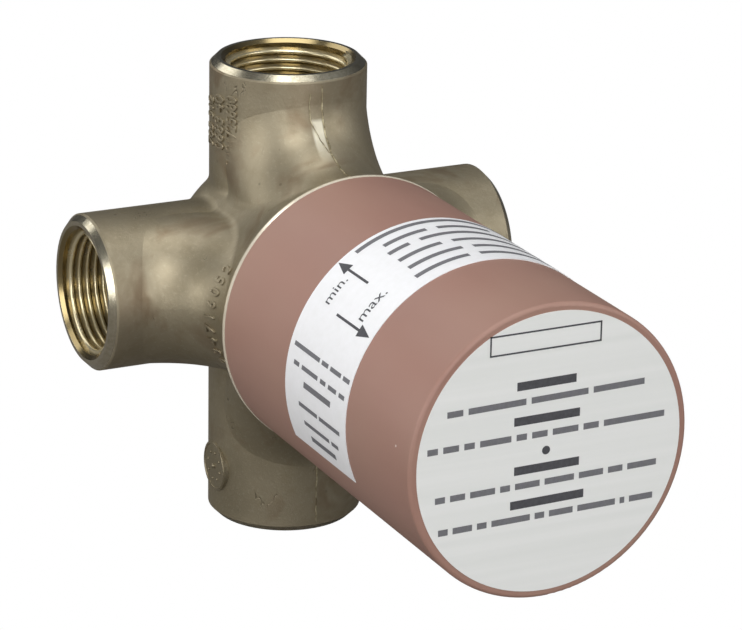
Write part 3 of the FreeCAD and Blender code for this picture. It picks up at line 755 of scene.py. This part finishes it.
# Print on the front label: an empty frame, a dot and lines of plain bars,
# bold and fine by turns. Places are in mm from the spindle line.
disc_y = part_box("front_label")[0][1] - ink_lift
front_print = bmesh.new()
frame_left, frame_right, frame_bottom, frame_top = -13.3, 10.0, 20.55, 24.6
line_wide = 0.34
for left, right, bottom, top in (
        (frame_left, frame_right, frame_top - line_wide, frame_top),
        (frame_left, frame_right, frame_bottom, frame_bottom + line_wide),
        (frame_left, frame_left + line_wide, frame_bottom, frame_top),
        (frame_right - line_wide, frame_right, frame_bottom, frame_top)):
    corners = ((left, bottom), (right, bottom), (right, top), (left, top))
    front_print.faces.new([front_print.verts.new((a, b, 0.0)) for a, b in corners])
front_small = bmesh.new()
for sheet, start, end, tall, bars in (
        (front_print, (-7.4, 14.0), (5.0, 14.1), 1.7, (7,)),
        (front_print, (-7.8, 7.1), (6.0, 7.2), 1.7, (9,)),
        (front_print, (-7.5, -2.7), (6.2, -2.6), 1.7, (9,)),
        (front_print, (-8.1, -9.5), (7.4, -9.3), 1.7, (10,)),
        (front_small, (-21.7, 10.6), (19.6, 11.3), 1.25, (3, 11, 11, 10)),
        (front_small, (-25.6, 3.8), (24.2, 4.2), 1.25, (2, 3, 2, 6, 2, 3, 5, 3, 12)),
        (front_small, (-23.8, -6.0), (22.9, -5.4), 1.25, (2, 3, 5, 2, 5, 6, 5, 3, 6)),
        (front_small, (-23.0, -12.5), (22.4, -12.1), 1.25, (2, 4, 2, 8, 2, 5, 8, 1, 5))):
    bar_line(sheet, start, end, tall, bars)
middle_mark, middle_mark_r = (-0.9, 0.6, 0.0), 0.85
bmesh.ops.create_circle(front_print, cap_ends=True, segments=24, radius=middle_mark_r,
                        matrix=Matrix.Translation(middle_mark))
for name, print_bm, colour in (
        ("front_print", front_print, ink), ("front_lines", front_small, pale_ink)):
    lay(print_bm, lambda u, v: Vector((u * MM, disc_y, axis_z + v * MM)))
    front_marks = link_mesh(name, print_bm)
    front_marks.data.materials.append(colour)
    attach(front_marks, "sleeve")

# Cartridge housing, spindle and retaining nut: bar brass, turned bright,
# with fine rings from the tool.
turned_brass, tree, shader, where = new_material("turned_brass")
rings = grain(tree, stretched(tree, where, (1.0, 40.0, 1.0)), 60.0, 2.0, 0.5)
feed(tree, shader.inputs["Base Color"], blend(tree, rings, rgb("ccb477"), rgb("d3bc81")))
shader.inputs["Metallic"].default_value = 1.0
feed(tree, shader.inputs["Roughness"], spread(tree, rings, 0.3, 0.7, 0.26, 0.30))
feed(tree, shader.inputs["Normal"], bump(tree, rings, 0.08, 0.03 * MM))
for name in ("cartridge_housing", "spindle", "retaining_nut"):
    dress(name, turned_brass)

# Circlip and locating pins: plain spring steel, stamped and drawn, so with
# a dull even sheen.
steel, tree, shader, where = new_material("spring_steel")
fine = grain(tree, where, 900.0, 2.0, 0.5)
feed(tree, shader.inputs["Base Color"], blend(tree, fine, rgb("a9abae"), rgb("c4c6c9")))
shader.inputs["Metallic"].default_value = 1.0
shader.inputs["Roughness"].default_value = 0.32
for name in ("circlip", "locating_pins"):
    dress(name, steel)

# Seals: black moulded rubber, two flat gaskets under the disc and the
# foot, and three O-rings on the spindle and the housing.
rubber, tree, shader, where = new_material("seal_rubber")
fine = grain(tree, where, 1800.0, 2.0, 0.5)
feed(tree, shader.inputs["Base Color"], blend(tree, fine, rgb("1d1d1e"), rgb("2b2b2c")))
shader.inputs["Roughness"].default_value = 0.55
feed(tree, shader.inputs["Normal"], bump(tree, fine, 0.15, 0.1 * MM))
for name in ("base_gasket", "disc_gasket", "spindle_o_ring_back", "spindle_o_ring_front",
             "housing_o_ring"):
    dress(name, rubber)

# Ceramic discs: white alumina, lapped flat so that they seal on each
# other. The lower one stands still and the upper one turns.
ceramic, tree, shader, where = new_material("lapped_ceramic")
fine = grain(tree, where, 600.0, 3.0, 0.5)
feed(tree, shader.inputs["Base Color"], blend(tree, fine, rgb("e9e6dc"), rgb("f3f1ea")))
shader.inputs["Roughness"].default_value = 0.18
for name in ("fixed_disc", "rotating_disc"):
    dress(name, ceramic)

# Cartridge foot and disc driver: dark grey moulded plastic, keyed into
# the housing and into the upper disc.
grey_plastic, tree, shader, where = new_material("cartridge_plastic")
fine = grain(tree, where, 1500.0, 3.0, 0.5)
feed(tree, shader.inputs["Base Color"], blend(tree, fine, rgb("4a4f57"), rgb("5a6069")))
shader.inputs["Roughness"].default_value = 0.42
feed(tree, shader.inputs["Normal"], bump(tree, fine, 0.12, 0.1 * MM))
for name in ("cartridge_base", "disc_driver"):
    dress(name, grey_plastic)

# Washers and slip ring: smooth white plastic rings that let the spindle
# and the nut turn without dragging on brass.
white_plastic, tree, shader, where = new_material("washer_plastic")
fine = grain(tree, where, 1500.0, 3.0, 0.5)
feed(tree, shader.inputs["Base Color"], blend(tree, fine, rgb("dedbd0"), rgb("ebe8df")))
shader.inputs["Roughness"].default_value = 0.38
for name in ("glide_washer", "thrust_washer", "slip_ring"):
    dress(name, white_plastic)
